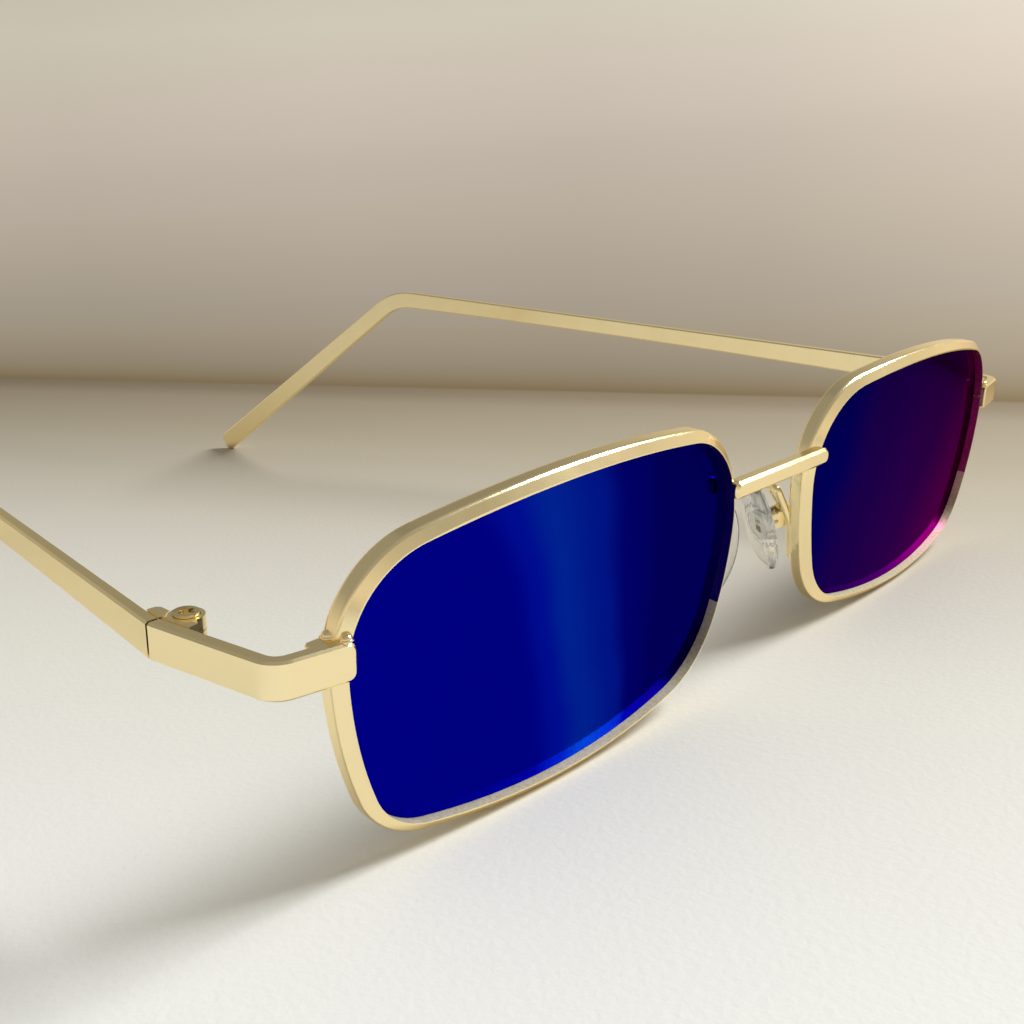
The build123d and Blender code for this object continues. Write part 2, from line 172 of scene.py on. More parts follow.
@dataclass(frozen=True)
class GoldPlate:
    """Pale gold plating over polished nickel silver: near-mirror, softened by fine polishing marks."""

    colour: str = "#FDEAB9"
    deep_colour: str = "#FBE7B2"
    edge_tint: str = "#FFF8E6"
    roughness: float = 0.19
    cloud_mm: float = 14.0
    haze_mm: float = 4.0
    mark_mm: float = 0.18
    mark_depth_mm: float = 0.02
    haze_spread: float = 0.15

    def build(self) -> bpy.types.Material:
        """Makes the material."""
        material, tree, output = new_material("Gold plating, polished")
        place = add_node(tree, "ShaderNodeTexCoord").outputs["Object"]
        # Plating thickness drifts over centimetres, which warms the colour a little here and there
        cloud = add_noise(tree, place, self.cloud_mm, 2.0)
        tone = add_node(tree, "ShaderNodeValToRGB", {
            "stops": ((0.35, self.deep_colour), (0.65, self.colour))}, {"Fac": cloud})
        # Buffing leaves a haze in patches, so that a reflection is crisp in one place and soft in the next
        haze = add_noise(tree, place, self.haze_mm, 4.0)
        rough = add_node(tree, "ShaderNodeMapRange", None, {
            "Value": haze, "From Min": 0.3, "From Max": 0.7,
            "To Min": self.roughness * (1 - self.haze_spread),
            "To Max": self.roughness * (1 + self.haze_spread)})
        # Polishing marks are finer than the render shows, so they are drawn at about a fifth of a millimetre
        marks = add_noise(tree, place, self.mark_mm, 3.0)
        bump = add_node(tree, "ShaderNodeBump", None, {
            "Height": marks, "Strength": 0.02, "Distance": self.mark_depth_mm * MM})
        shader = add_node(tree, "ShaderNodeBsdfPrincipled", None, {
            "Base Color": tone.outputs["Color"], "Metallic": 1.0, "Roughness": rough.outputs["Result"],
            "Specular Tint": linear(self.edge_tint), "Normal": bump.outputs["Normal"]})
        tree.links.new(shader.outputs["BSDF"], output.inputs["Surface"])
        return material


@dataclass(frozen=True)
class GrooveGoldPaintedLit:
    """The same plating on the milled wall below the lens: matt, with the tool's fine chatter across them, in a
    lighter, less metallic copy that is painted light where the lamp falls on this upward wall.
    """

    # Lighter than the polished plating's colours: painted light on the upward wall below the lens
    colour: str = "#FFF4CC"
    deep_colour: str = "#F1DFAA"
    roughness: float = 0.4
    polished_roughness: float = 0.2
    metallic: float = 0.6
    chatter_mm: float = 0.35
    chatter_depth_mm: float = 0.05

    def build(self) -> bpy.types.Material:
        """Makes the material."""
        material, tree, output = new_material("Gold plating, milled, painted lit")
        place = add_node(tree, "ShaderNodeTexCoord").outputs["Object"]
        # Chatter from the milling cutter, drawn at about a third of a millimetre so that it shows
        chatter = add_noise(tree, place, self.chatter_mm, 2.0)
        tone = add_node(tree, "ShaderNodeValToRGB", {
            "stops": ((0.35, self.deep_colour), (0.6, self.colour))}, {"Fac": chatter})
        bump = add_node(tree, "ShaderNodeBump", None, {
            "Height": chatter, "Strength": 0.3, "Distance": self.chatter_depth_mm * MM})
        # The cutter runs out where the wall turns upright, and leaves it polished there
        facing = add_node(tree, "ShaderNodeSeparateXYZ", None, {
            "Vector": add_node(tree, "ShaderNodeNewGeometry").outputs["Normal"]})
        rough = add_node(tree, "ShaderNodeMapRange", {"interpolation_type": "SMOOTHSTEP"}, {
            "Value": facing.outputs["Z"], "From Min": 0.45, "From Max": 0.9,
            "To Min": self.polished_roughness, "To Max": self.roughness})
        shader = add_node(tree, "ShaderNodeBsdfPrincipled", None, {
            "Base Color": tone.outputs["Color"], "Metallic": self.metallic,
            "Roughness": rough.outputs["Result"], "Normal": bump.outputs["Normal"]})
        tree.links.new(shader.outputs["BSDF"], output.inputs["Surface"])
        return material


@dataclass(frozen=True)
class MirrorCoat:
    """Blue mirror coating, vapour-deposited on the lens's front: a film that reflects deep blue.

    The coating's colour is painted by place across the pair. The brighter blue band in the middle of one lens
    is a painted reflection of the bright table, and the violet towards the far end of the other is a painted
    low-angle sheen. Any of it also turns violet when seen at a low angle.
    """

    low_angle_colour: str = "#3C0048"
    low_angle_share: float = 0.3
    low_angle_range: tuple[float, float] = (0.62, 0.95)
    roughness: float = 0.08
    reach_mm: float = 58.0
    reflection_wander_mm: float = 5.0
    reflection_wander_size_mm: float = 15.0
    middle_mm: float = 15.0
    upright_mm: float = -13.0
    lean_per_mm: float = 0.0116
    # Colours along X in millimetres, all painted reflection: a brighter blue band of reflected table on the
    # near lens, and violet sheen towards the far lens
    stops: tuple[tuple[float, str], ...] = (
        (-56.0, "#00018E"), (-40.0, "#00018C"), (-36.5, "#000E9E"), (-33.0, "#01249E"), (-28.5, "#011692"),
        (-25.5, "#010170"), (-20.0, "#02005E"), (12.0, "#020062"), (21.0, "#1E0056"), (34.0, "#2E0058"),
        (56.0, "#5C005A"))

    def build(self) -> bpy.types.Material:
        """Makes the material."""
        material, tree, output = new_material("Mirror coating, blue")
        place = add_node(tree, "ShaderNodeTexCoord").outputs["Object"]
        # The edge of the painted reflection wanders a few millimetres up and down the lens
        wander = add_noise(tree, place, self.reflection_wander_size_mm, 1.0)
        across = add_node(tree, "ShaderNodeSeparateXYZ", None, {"Vector": place})
        # The painted reflection's colours lean with height: outwards on the wearer's left, the other way beyond
        # the upright line
        apart = add_node(tree, "ShaderNodeMath", {"operation": "SUBTRACT"}, {
            0: across.outputs["X"], 1: self.upright_mm * MM})
        height = add_node(tree, "ShaderNodeMath", {"operation": "SUBTRACT"}, {
            0: across.outputs["Z"], 1: self.middle_mm * MM})
        lean = add_node(tree, "ShaderNodeMath", {"operation": "MULTIPLY"}, {
            0: apart.outputs["Value"], 1: height.outputs["Value"]})
        leant = add_node(tree, "ShaderNodeMath", {"operation": "MULTIPLY_ADD"}, {
            0: lean.outputs["Value"], 1: -self.lean_per_mm / MM, 2: across.outputs["X"]})
        shifted = add_node(tree, "ShaderNodeMath", {"operation": "MULTIPLY_ADD"}, {
            0: wander, 1: self.reflection_wander_mm * MM, 2: leant.outputs["Value"]})
        share = add_node(tree, "ShaderNodeMapRange", None, {
            "Value": shifted.outputs["Value"], "From Min": (self.reflection_wander_mm / 2 - self.reach_mm) * MM,
            "From Max": (self.reflection_wander_mm / 2 + self.reach_mm) * MM, "To Min": 0.0, "To Max": 1.0})
        # The ramp paints these reflections onto the coating by place
        ramp = add_node(tree, "ShaderNodeValToRGB", {
            "stops": tuple((0.5 + at / (2 * self.reach_mm), colour) for at, colour in self.stops)},
            {"Fac": share.outputs["Result"]})
        ramp.color_ramp.interpolation = "EASE"
        angle = add_node(tree, "ShaderNodeLayerWeight", None, {"Blend": 0.5})
        low = add_node(tree, "ShaderNodeMapRange", None, {
            "Value": angle.outputs["Facing"], "From Min": self.low_angle_range[0],
            "From Max": self.low_angle_range[1], "To Min": 0.0, "To Max": self.low_angle_share})
        tone = add_node(tree, "ShaderNodeMix", {"data_type": "RGBA"}, {
            0: low.outputs["Result"], 6: ramp.outputs["Color"], 7: linear(self.low_angle_colour)})
        shader = add_node(tree, "ShaderNodeBsdfAnisotropic", None, {
            "Color": tone.outputs[2], "Roughness": self.roughness})
        tree.links.new(shader.outputs["BSDF"], output.inputs["Surface"])
        return material


@dataclass(frozen=True)
class TintedLens:
    """Grey-brown polycarbonate, moulded and hard-coated: the lens's body, dark and glossy from behind."""

    colour: str = "#2A2522"
    mottle_colour: str = "#312B28"
    mottle_mm: float = 15.0
    roughness: float = 0.06
    ior: float = 1.586

    def build(self) -> bpy.types.Material:
        """Makes the material."""
        material, tree, output = new_material("Polycarbonate, tinted grey-brown")
        place = add_node(tree, "ShaderNodeTexCoord").outputs["Object"]
        # Moulding leaves the tint a touch uneven
        mottle = add_noise(tree, place, self.mottle_mm, 1.0)
        tone = add_node(tree, "ShaderNodeValToRGB", {
            "stops": ((0.35, self.colour), (0.65, self.mottle_colour))}, {"Fac": mottle})
        shader = add_node(tree, "ShaderNodeBsdfPrincipled", None, {
            "Base Color": tone.outputs["Color"], "Roughness": self.roughness, "IOR": self.ior})
        tree.links.new(shader.outputs["BSDF"], output.inputs["Surface"])
        return material


def let_light_through(tree: bpy.types.NodeTree, shader: bpy.types.Node, output: bpy.types.Node,
                      tint: str) -> None:
    """Lets light fall through a clear piece, so that what lies inside and behind it isn't in the dark.

    Args:
        tree: The material's node tree.
        shader: The piece's own shader.
        output: The material's output node.
        tint: Colour that the light takes on in the piece.
    """
    through = add_node(tree, "ShaderNodeBsdfTransparent", None, {"Color": linear(tint)})
    path = add_node(tree, "ShaderNodeLightPath")
    mix = add_node(tree, "ShaderNodeMixShader", None, {
        0: path.outputs["Is Shadow Ray"], 1: shader.outputs["BSDF"], 2: through.outputs["BSDF"]})
    tree.links.new(mix.outputs["Shader"], output.inputs["Surface"])


@dataclass(frozen=True)
class ClearSilicone:
    """Clear silicone rubber, moulded: soft gloss, a faint cloudiness inside and a cool grey edge."""

    colour: str = "#F6F7F6"
    shade: str = "#E2E4E4"
    roughness: float = 0.08
    cloud_mm: float = 1.6
    skin_depth_mm: float = 0.05
    ior: float = 1.3
    transmission: float = 0.97

    def build(self) -> bpy.types.Material:
        """Makes the material."""
        material, tree, output = new_material("Silicone rubber, clear")
        place = add_node(tree, "ShaderNodeTexCoord").outputs["Object"]
        # The moulded skin is a little uneven, which breaks up its highlights
        skin = add_noise(tree, place, self.cloud_mm, 2.0)
        rough = add_node(tree, "ShaderNodeMapRange", None, {
            "Value": skin, "From Min": 0.3, "From Max": 0.7,
            "To Min": self.roughness * 0.6, "To Max": self.roughness * 1.3})
        bump = add_node(tree, "ShaderNodeBump", None, {
            "Height": skin, "Strength": 0.06, "Distance": self.skin_depth_mm * MM})
        shader = add_node(tree, "ShaderNodeBsdfPrincipled", None, {
            "Base Color": linear(self.colour), "Roughness": rough.outputs["Result"], "IOR": self.ior,
            "Transmission Weight": self.transmission, "Normal": bump.outputs["Normal"]})
        let_light_through(tree, shader, output, self.shade)
        return material


@dataclass(frozen=True)
class PadCorePlastic:
    """Clear polycarbonate, moulded: the hard base inside the pad, glassy with a faint grey cast."""

    colour: str = "#F2F3F1"
    shade: str = "#DFE1E0"
    roughness: float = 0.1
    sink_mm: float = 0.8
    ior: float = 1.36
    transmission: float = 0.95

    def build(self) -> bpy.types.Material:
        """Makes the material."""
        material, tree, output = new_material("Polycarbonate, clear")
        place = add_node(tree, "ShaderNodeTexCoord").outputs["Object"]
        # Moulding sinks show as a faint unevenness of the gloss
        sink = add_noise(tree, place, self.sink_mm, 1.0)
        rough = add_node(tree, "ShaderNodeMapRange", None, {
            "Value": sink, "To Min": self.roughness * 0.7, "To Max": self.roughness * 1.3})
        shader = add_node(tree, "ShaderNodeBsdfPrincipled", None, {
            "Base Color": linear(self.colour), "Roughness": rough.outputs["Result"], "IOR": self.ior,
            "Transmission Weight": self.transmission})
        let_light_through(tree, shader, output, self.shade)
        return material


@dataclass(frozen=True)
class ScrewSteel:
    """Stainless steel, turned and flash-gilded: satin, with fine rings from the lathe."""

    colour: str = "#E3D3A2"
    groove_colour: str = "#B89F63"
    roughness: float = 0.24
    ring_mm: float = 0.12
    ring_depth_mm: float = 0.02

    def build(self) -> bpy.types.Material:
        """Makes the material."""
        material, tree, output = new_material("Steel, turned and gilded")
        place = add_node(tree, "ShaderNodeTexCoord").outputs["Object"]
        # Lathe marks are drawn at about an eighth of a millimetre, coarser than real ones, so that they show
        rings = add_node(tree, "ShaderNodeTexWave", {"wave_type": "BANDS", "bands_direction": "Z"}, {
            "Vector": place, "Scale": 1 / (self.ring_mm * MM * WAVES_PER_UNIT),
            "Distortion": 0.4, "Detail": 1.0})
        tone = add_node(tree, "ShaderNodeValToRGB", {
            "stops": ((0.1, self.groove_colour), (0.6, self.colour))}, {"Fac": rings.outputs["Fac"]})
        bump = add_node(tree, "ShaderNodeBump", None, {
            "Height": rings.outputs["Fac"], "Strength": 0.25, "Distance": self.ring_depth_mm * MM})
        shader = add_node(tree, "ShaderNodeBsdfPrincipled", None, {
            "Base Color": tone.outputs["Color"], "Metallic": 1.0, "Roughness": self.roughness,
            "Normal": bump.outputs["Normal"]})
        tree.links.new(shader.outputs["BSDF"], output.inputs["Surface"])
        return material


@dataclass
class Finishes:
    """One built material for each finish."""

    gold: bpy.types.Material
    groove: bpy.types.Material
    mirror: bpy.types.Material
    tint: bpy.types.Material
    silicone: bpy.types.Material
    core: bpy.types.Material
    steel: bpy.types.Material

    @classmethod
    def build(cls) -> "Finishes":
        """Makes all the materials."""
        return cls(GoldPlate().build(), GrooveGoldPaintedLit().build(), MirrorCoat().build(), TintedLens().build(),
                   ClearSilicone().build(), PadCorePlastic().build(), ScrewSteel().build())

    def of_slot(self, slot: Slot) -> bpy.types.Material:
        """Finds the material of a record's slot.

        Args:
            slot: The slot.

        Returns:
            Its material.
        """
        return {Slot.GOLD: self.gold, Slot.MIRROR: self.mirror, Slot.SCREW: self.steel, Slot.CORE: self.core,
                Slot.SILICONE: self.silicone}[slot]


def lone(obj: bpy.types.Object) -> None:
    """Leaves one object selected and active.

    Args:
        obj: The object.
    """
    bpy.ops.object.select_all(action="DESELECT")
    obj.select_set(True)
    bpy.context.view_layer.objects.active = obj


def pick(obj: bpy.types.Object, test: Callable[[Vector, Vector], bool]) -> None:
    """Selects the faces of the object in edit mode whose centre and normal pass a test.

    Args:
        obj: The object in edit mode.
        test: A function of a face's centre and normal, in the object's own space.
    """
    bpy.ops.mesh.select_mode(type="FACE")
    bpy.ops.mesh.select_all(action="DESELECT")
    mesh = bmesh.from_edit_mesh(obj.data)
    for face in mesh.faces:
        face.select_set(test(face.calc_center_median(), face.normal))
    bmesh.update_edit_mesh(obj.data)


def box_mm(node: str) -> tuple[Vector, Vector]:
    """Finds the box of a solid in millimetres.

    Args:
        node: Name of the solid.

    Returns:
        The box's lowest and highest corner.
    """
    low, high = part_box(node)
    return Vector(low) / MM, Vector(high) / MM


def settle(obj: bpy.types.Object, name: str, place: Matrix) -> None:
    """Turns and moves a finished piece to its place, kept in its mesh, with its faces outwards.

    Args:
        obj: The piece, modelled about the origin.
        name: Its name.
        place: Where it goes, in the frame that all pieces share.
    """
    obj.name = name
    obj.data.name = name
    obj.matrix_world = place
    lone(obj)
    bpy.ops.object.transform_apply(location=True, rotation=True, scale=True)
    bpy.ops.object.mode_set(mode="EDIT")
    bpy.ops.mesh.select_all(action="SELECT")
    bpy.ops.mesh.remove_doubles(threshold=WELD_MM * MM)
    bpy.ops.mesh.normals_make_consistent(inside=False)
    bpy.ops.object.mode_set(mode="OBJECT")


@dataclass
class NosePad:
    """One soft pad: a domed oval of clear silicone with a collar moulded round the core's base."""

    side: Side
    finishes: Finishes
    height_mm: float = 12.5
    width_mm: float = 7.0
    dome_mm: float = 1.15
    back_mm: float = 0.62
    collar_mm: float = 2.35
    collar_step_mm: float = 0.22
    collar_rim_mm: float = 0.15
    flare_deg: float = 22.0
    turn_deg: float = 28.0
    stand_deg: float = 6.664
    segments: int = 64
    rings: int = 32

    def place(self) -> Matrix:
        """Works out where the pad is from the solid that it replaces.

        Returns:
            Matrix whose X runs across the pad, Y up it and Z out of the face that rests on the nose.
        """
        low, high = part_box(f"nose_pad_{Side.LEFT.label}")
        middle = (Vector(low) + Vector(high)) / 2
        axes = Matrix(((0, 0, -1), (-1, 0, 0), (0, 1, 0)))
        turned = (Matrix.Rotation(math.radians(self.stand_deg), 3, "X")
                  @ Matrix.Rotation(math.radians(-self.flare_deg), 3, "Y")
                  @ Matrix.Rotation(math.radians(-self.turn_deg), 3, "Z") @ axes)
        left = Matrix.Translation(middle) @ turned.to_4x4()
        if self.side is Side.LEFT:
            return left
        return Matrix.Scale(-1, 4, (1, 0, 0)) @ left

    def build(self) -> None:
        """Models the pad and hangs it on its body."""
        bpy.ops.object.select_all(action="DESELECT")
        bpy.ops.mesh.primitive_uv_sphere_add(segments=self.segments, ring_count=self.rings, radius=MM)
        pad = bpy.context.object
        bpy.ops.object.mode_set(mode="EDIT")
        bpy.ops.mesh.select_all(action="SELECT")
        bpy.ops.transform.resize(value=(self.width_mm / 2, self.height_mm / 2, self.dome_mm))
        # The back is flatter than the dome
        pick(pad, lambda at, normal: at.z < 0)
        bpy.ops.transform.resize(value=(1, 1, self.back_mm / self.dome_mm), center_override=(0, 0, 0))
        # A collar stands round the base of the core
        reach = self.collar_mm * MM
        pick(pad, lambda at, normal: normal.z < 0 and math.hypot(at.x, at.y) < reach)
        bpy.ops.mesh.extrude_region_move(TRANSFORM_OT_translate={"value": (0, 0, -self.collar_step_mm * MM)})
        bpy.ops.mesh.inset(thickness=self.collar_rim_mm * MM, depth=0)
        bpy.ops.object.mode_set(mode="OBJECT")
        rounding = pad.modifiers.new("Soft edges", "SUBSURF")
        rounding.levels = rounding.render_levels = 1
        lone(pad)
        bpy.ops.object.modifier_apply(modifier=rounding.name)
        bpy.ops.object.shade_smooth()
        settle(pad, f"silicone_pad_{self.side.label}", self.place())
        pad.data.materials.append(self.finishes.silicone)
        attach(pad, f"pad_{self.side.label}_body")
        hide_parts(f"nose_pad_{self.side.label}")
        log.info("%s: %d faces", pad.name, len(pad.data.polygons))


@dataclass
class SolderBead:
    """Small bead of gilded solder where two pieces of the front meet."""

    name: str
    at_mm: Vector
    size_mm: tuple[float, float, float]
    finishes: Finishes
    slump: float = 0.55
    segments: int = 24
    rings: int = 14

    def build(self) -> None:
        """Models the bead, slumped at its foot, and hangs it on the front."""
        bpy.ops.object.select_all(action="DESELECT")
        bpy.ops.mesh.primitive_uv_sphere_add(segments=self.segments, ring_count=self.rings, radius=MM)
        bead = bpy.context.object
        bpy.ops.object.mode_set(mode="EDIT")
        bpy.ops.mesh.select_all(action="SELECT")
        bpy.ops.transform.resize(value=self.size_mm)
        pick(bead, lambda at, normal: at.z < -self.size_mm[2] * MM / 4)
        spread = 1 + self.slump / 2
        bpy.ops.transform.resize(value=(spread, spread, self.slump), center_override=(0, 0, 0))
        bpy.ops.object.mode_set(mode="OBJECT")
        bpy.ops.object.shade_smooth()
        settle(bead, self.name, Matrix.Translation(self.at_mm * MM))
        bead.data.materials.append(self.finishes.gold)
        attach(bead, "front")
        log.info("%s: %d faces", bead.name, len(bead.data.polygons))


@dataclass
class SolderWork:
    """All the beads: on the locks, above the end pieces' tips and at the feet of the pad arms."""

    finishes: Finishes
    lock_bead_mm: tuple[float, float, float] = (0.55, 0.6, 0.5)
    lock_bead_shift_mm: tuple[float, float, float] = (-0.2, 0.1, 0.05)
    end_bead_mm: tuple[float, float, float] = (0.5, 0.45, 0.45)
    end_bead_shift_mm: tuple[float, float, float] = (0.65, 0.5, -0.02)
    arm_bead_mm: tuple[float, float, float] = (0.5, 0.42, 0.6)
    arm_bead_shift_mm: tuple[float, float, float] = (-0.5, 0.55, 0.75)

    def add(self, name: str, side: Side, corner_mm: tuple[float, float, float],
            shift_mm: tuple[float, float, float], size_mm: tuple[float, float, float]) -> None:
        """Adds one bead near a corner of its neighbour.

        Args:
            name: What the bead is called, without its side.
            side: The side it is on.
            corner_mm: The corner.
            shift_mm: Way from the corner to the bead, with X outwards from the nose.
            size_mm: The bead's half sizes.
        """
        across, back, up = shift_mm
        at_mm = Vector(corner_mm) + Vector((side.value * across, back, up))
        SolderBead(f"{name}_{side.label}", at_mm, size_mm, self.finishes).build()

    def build(self) -> None:
        """Places the beads of both sides."""
        for side in Side:
            lock_low, lock_high = box_mm(f"lock_upper_{side.label}")
            end_low, end_high = box_mm(f"end_piece_{side.label}")
            arm_low, arm_high = box_mm(f"pad_arm_{side.label}")
            lock_inner, end_inner = (min(low.x, high.x, key=abs)
                                     for low, high in ((lock_low, lock_high), (end_low, end_high)))
            arm_outer = max(arm_low.x, arm_high.x, key=abs)
            self.add("lock_bead", side, (lock_inner, (lock_low.y + lock_high.y) / 2, lock_high.z),
                     self.lock_bead_shift_mm, self.lock_bead_mm)
            self.add("end_bead", side, (end_inner, end_low.y, lock_high.z),
                     self.end_bead_shift_mm, self.end_bead_mm)
            self.add("arm_bead", side, (arm_outer, arm_low.y, arm_low.z),
                     self.arm_bead_shift_mm, self.arm_bead_mm)


@dataclass
class SolidPieces:
    """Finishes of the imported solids."""

    finishes: Finishes
    painted_lit_upward: float = 0.3
    tint_backward: float = -0.3

    @staticmethod
    def slot_of(name: str) -> Slot:
        """Finds a node's slot from its name.

        Args:
            name: Name of the node.

        Returns:
            The slot.
        """
        if "screw" in name:
            return Slot.SCREW
        if name.startswith("lens"):
            return Slot.MIRROR
        if name.startswith("pad_insert"):
            return Slot.CORE
        if name.startswith("nose_pad"):
            return Slot.SILICONE
        return Slot.GOLD

    def dress(self, nodes: dict[str, bpy.types.Object]) -> None:
        """Gives each solid its material, each lens a tinted back and each rim a lighter copy of the plating,
        painted light, on the upward wall below its lens.

        Args:
            nodes: The frame's nodes by name.
        """
        for name, node in nodes.items():
            slot = self.slot_of(name)
            node.data.materials.clear()
            node.data.materials.append(self.finishes.of_slot(slot))
            if slot is Slot.MIRROR:
                node.data.materials.append(self.finishes.tint)
                for face in node.data.polygons:
                    face.material_index = int(face.normal.y > self.tint_backward)
            # The upward faces of each rim's lower half get the lighter copy of the plating: painted light where
            # the lamp falls
            if name.startswith("rim"):
                node.data.materials.append(self.finishes.groove)
                low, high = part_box(name)
                middle = (low[2] + high[2]) / 2
                for face in node.data.polygons:
                    face.material_index = int(face.normal.z > self.painted_lit_upward and face.center.z < middle)
            log.info("%s: %s", name, slot.value)


@dataclass
class Studio:
    """Pale table that ends at a warm wall, soft light from the right, and the photograph's camera.

    The table's colour falls off towards the wall with painted shade, and the wall, drawn as a glowing backdrop,
    rises again with height and towards the lamp's side with painted light, as the room's light does.
    """

    camera_at_mm: tuple[float, float, float] = (-111.32, -151.625, 53.084)
    camera_turn_deg: tuple[float, float, float] = (75.2397, 4.2061, -47.4923)
    camera_lens_mm: float = 43.945
    sensor_mm: float = 36.0
    camera_clip_mm: float = 5.0
    table_size_mm: float = 40000.0
    table_span_mm: float = 260.0
    table_drop_mm: float = 0.02
    table_roughness: float = 0.65
    table_grit_mm: float = 0.8
    table_grit_depth_mm: float = 0.12
    # Table colour by distance from the joint, in millimetres: pale far off, then painted shade darkening
    # towards the wall
    table_tone_and_shade_stops: tuple[tuple[float, str], ...] = (
        (-260.0, "#F4F4EF"), (-228.0, "#EFEDE6"), (-205.0, "#E8E5DC"), (-185.0, "#E1DDD2"), (-160.0, "#D8D3C7"),
        (-130.0, "#CAC3B4"), (-95.0, "#B6AC99"), (-55.0, "#A3977F"), (-22.0, "#968770"), (-10.0, "#84745B"),
        (0.0, "#7B6A4E"))
    wall_reach_mm: float = 200.0
    # Colours of the wall drawn on the table, by height: painted shade darkest at its foot, lighter upwards
    wall_painted_shade_stops: tuple[tuple[float, str], ...] = (
        (0.0, "#7F6E52"), (0.06, "#8B7B62"), (0.107, "#90836C"), (0.17, "#968976"), (0.26, "#9C8F7C"),
        (0.373, "#A29683"), (0.574, "#A99E8F"), (0.747, "#B1A595"), (0.898, "#B8AC9C"), (1.0, "#BCB0A2"))
    sky_stops: tuple[tuple[float, str], ...] = (
        (0.0, "#BCB0A2"), (0.023, "#C0B4A6"), (0.044, "#C6BAAC"), (0.073, "#CBBFB1"), (0.122, "#D0C8B7"),
        (0.22, "#C2BBAE"), (0.5, "#918E88"), (1.0, "#8A8986"))
    # Brightness by direction: painted light towards the lamp's side on the drawn wall, the room's own light in
    # its glow
    side_stops: tuple[tuple[float, str], ...] = (
        (0.0, "#FFFFFF"), (0.25, "#E9EAEA"), (0.4, "#E2E2E2"), (0.6, "#E1E1E1"), (0.8, "#D9DAD8"),
        (0.91, "#D9DAD8"), (0.98, "#F2F2F1"))
    side_deg: tuple[float, float] = (18.0, 72.0)
    side_gain: float = 1.34
    joint_near_mm: tuple[float, float] = (154.0, -51.0)
    joint_far_mm: tuple[float, float] = (87.0, 282.0)
    joint_blur_mm: float = 1.5
    lamp_colour: str = "#F4F9FF"
    lamp_at_mm: tuple[float, float, float] = (440.0, -314.0, 466.0)
    lamp_aim_mm: tuple[float, float, float] = (0.0, -80.0, 0.0)
    lamp_size_mm: float = 265.0
    lamp_watts: float = 6.0

    def camera(self) -> None:
        """Sets the camera where the photograph was taken from."""
        bpy.ops.object.camera_add(location=[v * MM for v in self.camera_at_mm],
                                  rotation=[math.radians(v) for v in self.camera_turn_deg])
        camera = bpy.context.object
        camera.name = "camera"
        camera.data.lens = self.camera_lens_mm
        camera.data.sensor_width = self.sensor_mm
        camera.data.clip_start = self.camera_clip_mm * MM
        bpy.context.scene.camera = camera

    def side_light(self, tree: bpy.types.NodeTree, place: bpy.types.NodeSocket, pole_mm: tuple[float, float],
                   tone: bpy.types.NodeSocket) -> bpy.types.NodeSocket:
        """Brightens a wall's tone towards the lamp's side: painted light on the wall drawn on the table, the
        room's own light in its glow.

        Args:
            tree: Node tree to build in.
            place: Point on the table top or direction into the room.
            pole_mm: Point from which the wall's directions are counted.
            tone: The wall's tone in the middle of the wall.

        Returns:
            The brightened tone.
        """
        apart = add_node(tree, "ShaderNodeVectorMath", {"operation": "SUBTRACT"}, {
            0: place, 1: (pole_mm[0] * MM, pole_mm[1] * MM, 0)})
        part = add_node(tree, "ShaderNodeSeparateXYZ", None, {"Vector": apart.outputs["Vector"]})
        turn = add_node(tree, "ShaderNodeMath", {"operation": "ARCTAN2"}, {
            0: part.outputs["Y"], 1: part.outputs["X"]})
        share = add_node(tree, "ShaderNodeMapRange", None, {
            "Value": turn.outputs["Value"], "From Min": math.radians(self.side_deg[0]),
            "From Max": math.radians(self.side_deg[1])})
        dim = add_node(tree, "ShaderNodeValToRGB", {"stops": self.side_stops}, {
            "Fac": share.outputs["Result"]})
        lit = add_node(tree, "ShaderNodeVectorMath", {"operation": "MULTIPLY"}, {
            0: tone, 1: dim.outputs["Color"]})
        gain = add_node(tree, "ShaderNodeVectorMath", {"operation": "SCALE"}, {
            0: lit.outputs["Vector"], "Scale": self.side_gain})
        return gain.outputs["Vector"]

    @staticmethod
    def seen(tree: bpy.types.NodeTree) -> bpy.types.NodeSocket:
        """Marks the rays that show the backdrop: camera, mirror and glass ones.

        Args:
            tree: Node tree to build in.

        Returns:
            One on those rays and zero on those that light the object.
        """
        path = add_node(tree, "ShaderNodeLightPath")
        total = add_node(tree, "ShaderNodeMath", {"operation": "ADD"}, {
            0: path.outputs["Is Camera Ray"], 1: path.outputs["Is Glossy Ray"]})
        clamped = add_node(tree, "ShaderNodeMath", {"operation": "ADD", "use_clamp": True}, {
            0: total.outputs["Value"], 1: path.outputs["Is Transmission Ray"]})
        return clamped.outputs["Value"]

    def table(self) -> None:
        """Lays the table top, darkened with painted shade towards its joint to the wall behind the wearer's
        left temple, and draws the wall beyond that joint.
        """
        bpy.ops.object.select_all(action="DESELECT")
        bpy.ops.mesh.primitive_plane_add(size=self.table_size_mm * MM,
                                         location=(0, 0, -self.table_drop_mm * MM))
        table = bpy.context.object
        table.name = "table"
        near, far = Vector(self.joint_near_mm), Vector(self.joint_far_mm)
        along = (far - near).normalized()
        outwards = Vector((along.y, -along.x))
        material, tree, output = new_material("Laminate, pale, painted shade and wall")
        place = add_node(tree, "ShaderNodeTexCoord").outputs["Object"]
        reach = add_node(tree, "ShaderNodeVectorMath", {"operation": "DOT_PRODUCT"}, {
            0: place, 1: (outwards.x, outwards.y, 0)})
        beyond = add_node(tree, "ShaderNodeMath", {"operation": "SUBTRACT"}, {
            0: reach.outputs["Value"], 1: near.dot(outwards) * MM})
        share = add_node(tree, "ShaderNodeMapRange", None, {
            "Value": beyond.outputs["Value"], "From Min": -self.table_span_mm * MM, "From Max": 0.0})
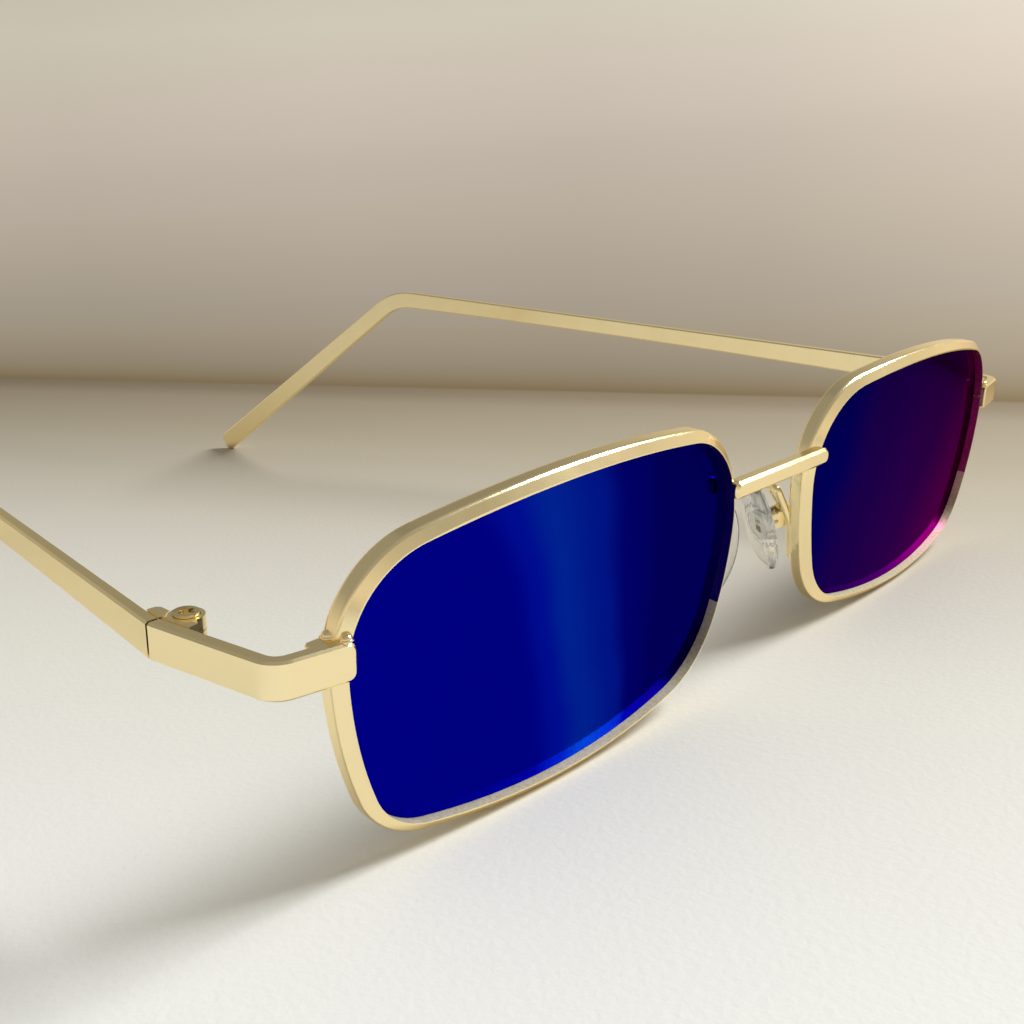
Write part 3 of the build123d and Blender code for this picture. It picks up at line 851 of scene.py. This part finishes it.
        # Painted shade: the table's colour darkens towards the wall
        tone = add_node(tree, "ShaderNodeValToRGB", {
            "stops": tuple((1 + at / self.table_span_mm, colour) for at, colour in self.table_tone_and_shade_stops)},
            {"Fac": share.outputs["Result"]})
        # Fine grit of the laminate's pressing plate
        grit = add_noise(tree, place, self.table_grit_mm, 2.0)
        bump = add_node(tree, "ShaderNodeBump", None, {
            "Height": grit, "Strength": 0.35, "Distance": self.table_grit_depth_mm * MM})
        top = add_node(tree, "ShaderNodeBsdfPrincipled", None, {
            "Base Color": tone.outputs["Color"], "Roughness": self.table_roughness,
            "Normal": bump.outputs["Normal"]})
        # The wall is drawn beyond the joint as a glowing painted backdrop, with painted shade at its foot and
        # painted light towards the lamp's side: its height is the distance, squeezed into a share of one
        depth = add_node(tree, "ShaderNodeMath", {"operation": "ADD"}, {
            0: beyond.outputs["Value"], 1: self.wall_reach_mm * MM})
        rise = add_node(tree, "ShaderNodeMath", {"operation": "DIVIDE", "use_clamp": True}, {
            0: beyond.outputs["Value"], 1: depth.outputs["Value"]})
        wall = add_node(tree, "ShaderNodeValToRGB", {"stops": self.wall_painted_shade_stops}, {
            "Fac": rise.outputs["Value"]})
        # The drawn wall glows though it is no lamp: a painted backdrop
        glow = add_node(tree, "ShaderNodeEmission", None, {
            "Color": self.side_light(tree, place, self.camera_at_mm[:2], wall.outputs["Color"])})
        past = add_node(tree, "ShaderNodeMapRange", None, {
            "Value": beyond.outputs["Value"], "From Min": -self.joint_blur_mm * MM,
            "From Max": self.joint_blur_mm * MM})
        shown = add_node(tree, "ShaderNodeMath", {"operation": "MULTIPLY"}, {
            0: past.outputs["Result"], 1: self.seen(tree)})
        mix = add_node(tree, "ShaderNodeMixShader", None, {
            0: shown.outputs["Value"], 1: top.outputs["BSDF"], 2: glow.outputs["Emission"]})
        tree.links.new(mix.outputs["Shader"], output.inputs["Surface"])
        table.data.materials.append(material)

    def light(self) -> None:
        """Hangs the soft lamp and sets the room's glow, which is also the wall above the horizon."""
        world = bpy.data.worlds.new("room")
        bpy.context.scene.world = world
        world.use_nodes = True
        tree = world.node_tree
        tree.nodes.clear()
        output = add_node(tree, "ShaderNodeOutputWorld")
        place = add_node(tree, "ShaderNodeTexCoord").outputs["Generated"]
        up = add_node(tree, "ShaderNodeSeparateXYZ", None, {"Vector": place})
        wall = add_node(tree, "ShaderNodeValToRGB", {"stops": self.sky_stops}, {"Fac": up.outputs["Z"]})
        room = add_node(tree, "ShaderNodeBackground", None, {
            "Color": self.side_light(tree, place, (0.0, 0.0), wall.outputs["Color"])})
        tree.links.new(room.outputs["Background"], output.inputs["Surface"])
        at, aim = Vector(self.lamp_at_mm) * MM, Vector(self.lamp_aim_mm) * MM
        turn = (aim - at).to_track_quat("-Z", "Y").to_euler()
        bpy.ops.object.light_add(type="AREA", location=at, rotation=turn)
        lamp = bpy.context.object
        lamp.name = "window"
        lamp.data.size = self.lamp_size_mm * MM
        lamp.data.energy = self.lamp_watts
        lamp.data.color = linear(self.lamp_colour)[:3]

    def view(self) -> None:
        """Keeps the plain view transform."""
        bpy.context.scene.view_settings.view_transform = "Standard"


def main() -> None:
    """Builds and dresses everything in order."""
    logging.basicConfig(level=logging.INFO, format="%(message)s")
    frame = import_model()
    finishes = Finishes.build()
    SolidPieces(finishes).dress(frame["nodes"])
    for side in Side:
        NosePad(side, finishes).build()
    SolderWork(finishes).build()
    studio = Studio()
    studio.camera()
    studio.table()
    studio.light()
    studio.view()


if __name__ == "__main__":
    main()
